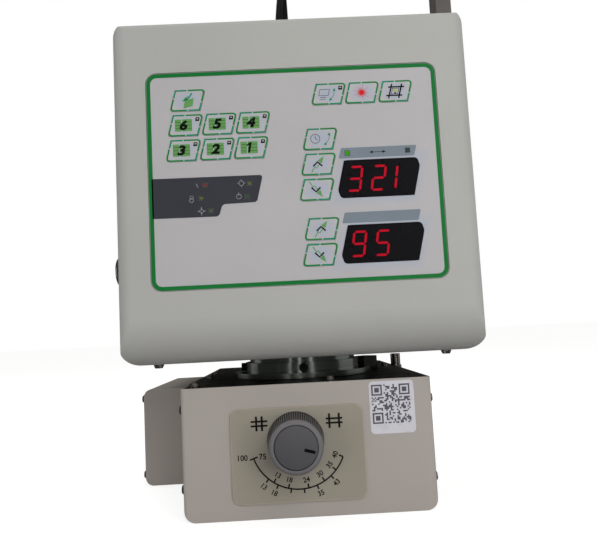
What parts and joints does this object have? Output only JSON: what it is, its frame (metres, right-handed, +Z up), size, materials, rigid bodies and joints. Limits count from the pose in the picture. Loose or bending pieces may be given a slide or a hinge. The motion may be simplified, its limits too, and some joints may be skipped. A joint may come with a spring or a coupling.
{
  "type": "portable x-ray machine",
  "caption": "Portable x-ray head with a membrane control panel and displays on a swivelling collimator with a field-size knob, carrying handle and mains lead.",
  "frame": {"origin": "on the beam axis, in the plane of the collimator's flat underside", "axes": "+Z up along the beam axis, +X to the right of a person in front of the controls, +Y away from that person"},
  "size_m": [0.2155, 0.3716, 0.3979],
  "materials": {
    "light_grey_paint": "satin",
    "warm_grey_paint": "satin",
    "black_plate": "satin",
    "black_plastic": "matte",
    "taupe_plastic": "matte",
    "grey_plastic": "satin",
    "label_film": "satin",
    "smoked_lens": "gloss",
    "lamp_lens": "gloss",
    "steel": "satin",
    "nickel": "gloss",
    "aluminium": "satin",
    "brass": "satin",
    "board": "satin",
    "glass": "gloss",
    "clear_plastic": "gloss",
    "mirror": "gloss",
    "lead_rubber": "matte",
    "dial_film": "satin"
  },
  "bodies": {
    "head": {"main_housing": "light_grey_paint", "rear_cover": "light_grey_paint", "housing_screws": "nickel", "chassis_plate": "aluminium", "tube_tank": "aluminium", "xray_tube": "glass", "hv_transformer": "steel", "port_spigot": "black_plate", "power_board": "board", "control_board": "board", "display_windows": "smoked_lens", "front_label": "label_film", "indicator_leds": "lamp_lens", "switch_frame": "black_plastic", "hand_switch_socket": "nickel", "carry_handle": "black_plastic", "switch_hook": "taupe_plastic", "cord_gland": "black_plastic", "mains_cord": "lead_rubber", "cord_coil": "lead_rubber", "mains_plug": "black_plastic", "swivel_ring": "aluminium", "hub_screws": "black_plate"},
    "collimator": {"swivel_neck": "steel", "swivel_detent": "black_plastic", "collimator_case": "warm_grey_paint", "collimator_front_cover": "warm_grey_paint", "collimator_top_plate": "black_plate", "collimator_screws": "nickel", "exit_window": "clear_plastic", "lamp_box": "warm_grey_paint", "dial_plate": "dial_film", "laser_pointer": "nickel", "field_mirror": "mirror", "field_lamp": "grey_plastic", "shutter_frame": "aluminium", "spindle_supports": "brass"},
    "knob": {"field_knob": "grey_plastic", "knob_spindle": "steel"},
    "cross_drive": {"cross_spindle": "steel"},
    "left_jaw": {"left_shutter": "steel"},
    "right_jaw": {"right_shutter": "steel"},
    "front_jaw": {"front_shutter": "steel"},
    "rear_jaw": {"rear_shutter": "steel"},
    "rocker": {"mains_switch": "black_plastic"},
    "key_save": {"key_save": "label_film"},
    "key_6": {"key_6": "label_film"},
    "key_5": {"key_5": "label_film"},
    "key_4": {"key_4": "label_film"},
    "key_3": {"key_3": "label_film"},
    "key_2": {"key_2": "label_film"},
    "key_1": {"key_1": "label_film"},
    "key_display": {"key_display": "label_film"},
    "key_laser": {"key_laser": "label_film"},
    "key_lamp": {"key_lamp": "label_film"},
    "key_units": {"key_units": "label_film"},
    "key_time_up": {"key_time_up": "label_film"},
    "key_time_down": {"key_time_down": "label_film"},
    "key_volt_up": {"key_volt_up": "label_film"},
    "key_volt_down": {"key_volt_down": "label_film"}
  },
  "joints": [
    {"name": "collimator_swivel", "type": "hinge", "parent": "head", "child": "collimator", "pos_m": [0, 0, 0.0775], "axis": [0, 0, 1], "range_deg": [-45, 45]},
    {"name": "knob_turn", "type": "hinge", "parent": "collimator", "child": "knob", "pos_m": [-0.007, -0.07, 0.0417], "axis": [0, 1, 0], "range_deg": [0, 148]},
    {"name": "cross_turn", "type": "hinge", "parent": "collimator", "child": "cross_drive", "pos_m": [0, -0.035, 0.0417], "axis": [1, 0, 0], "range_deg": [0, 148.5]},
    {"name": "left_slide", "type": "slide", "parent": "collimator", "child": "left_jaw", "axis": [1, 0, 0], "range_m": [0, 0.02066]},
    {"name": "right_slide", "type": "slide", "parent": "collimator", "child": "right_jaw", "axis": [-1, 0, 0], "range_m": [0, 0.0207]},
    {"name": "front_slide", "type": "slide", "parent": "collimator", "child": "front_jaw", "axis": [0, 1, 0], "range_m": [0, 0.0207]},
    {"name": "rear_slide", "type": "slide", "parent": "collimator", "child": "rear_jaw", "axis": [0, -1, 0], "range_m": [0, 0.0207]},
    {"name": "mains_rocker", "type": "hinge", "parent": "head", "child": "rocker", "pos_m": [-0.062, 0.137, 0.1286], "axis": [1, 0, 0], "range_deg": [-16.2, 0]},
    {"name": "key_save_press", "type": "slide", "parent": "head", "child": "key_save", "axis": [0, 1, 0], "range_m": [0, 0.0004], "stiffness_N_per_m": 1500, "springref_m": -0.0004},
    {"name": "key_6_press", "type": "slide", "parent": "head", "child": "key_6", "axis": [0, 1, 0], "range_m": [0, 0.0004], "stiffness_N_per_m": 1500, "springref_m": -0.0004},
    {"name": "key_5_press", "type": "slide", "parent": "head", "child": "key_5", "axis": [0, 1, 0], "range_m": [0, 0.0004], "stiffness_N_per_m": 1500, "springref_m": -0.0004},
    {"name": "key_4_press", "type": "slide", "parent": "head", "child": "key_4", "axis": [0, 1, 0], "range_m": [0, 0.0004], "stiffness_N_per_m": 1500, "springref_m": -0.0004},
    {"name": "key_3_press", "type": "slide", "parent": "head", "child": "key_3", "axis": [0, 1, 0], "range_m": [0, 0.0004], "stiffness_N_per_m": 1500, "springref_m": -0.0004},
    {"name": "key_2_press", "type": "slide", "parent": "head", "child": "key_2", "axis": [0, 1, 0], "range_m": [0, 0.0004], "stiffness_N_per_m": 1500, "springref_m": -0.0004},
    {"name": "key_1_press", "type": "slide", "parent": "head", "child": "key_1", "axis": [0, 1, 0], "range_m": [0, 0.0004], "stiffness_N_per_m": 1500, "springref_m": -0.0004},
    {"name": "key_display_press", "type": "slide", "parent": "head", "child": "key_display", "axis": [0, 1, 0], "range_m": [0, 0.0004], "stiffness_N_per_m": 1500, "springref_m": -0.0004},
    {"name": "key_laser_press", "type": "slide", "parent": "head", "child": "key_laser", "axis": [0, 1, 0], "range_m": [0, 0.0004], "stiffness_N_per_m": 1500, "springref_m": -0.0004},
    {"name": "key_lamp_press", "type": "slide", "parent": "head", "child": "key_lamp", "axis": [0, 1, 0], "range_m": [0, 0.0004], "stiffness_N_per_m": 1500, "springref_m": -0.0004},
    {"name": "key_units_press", "type": "slide", "parent": "head", "child": "key_units", "axis": [0, 1, 0], "range_m": [0, 0.0004], "stiffness_N_per_m": 1500, "springref_m": -0.0004},
    {"name": "key_time_up_press", "type": "slide", "parent": "head", "child": "key_time_up", "axis": [0, 1, 0], "range_m": [0, 0.0004], "stiffness_N_per_m": 1500, "springref_m": -0.0004},
    {"name": "key_time_down_press", "type": "slide", "parent": "head", "child": "key_time_down", "axis": [0, 1, 0], "range_m": [0, 0.0004], "stiffness_N_per_m": 1500, "springref_m": -0.0004},
    {"name": "key_volt_up_press", "type": "slide", "parent": "head", "child": "key_volt_up", "axis": [0, 1, 0], "range_m": [0, 0.0004], "stiffness_N_per_m": 1500, "springref_m": -0.0004},
    {"name": "key_volt_down_press", "type": "slide", "parent": "head", "child": "key_volt_down", "axis": [0, 1, 0], "range_m": [0, 0.0004], "stiffness_N_per_m": 1500, "springref_m": -0.0004}
  ],
  "couplings": [
    {"joint": "knob_turn", "follows": "left_slide", "rad_per_m": 125},
    {"joint": "cross_turn", "follows": "left_slide", "rad_per_m": 125},
    {"joint": "right_slide", "follows": "left_slide", "ratio": 1},
    {"joint": "front_slide", "follows": "left_slide", "ratio": 1},
    {"joint": "rear_slide", "follows": "left_slide", "ratio": 1}
  ]
}
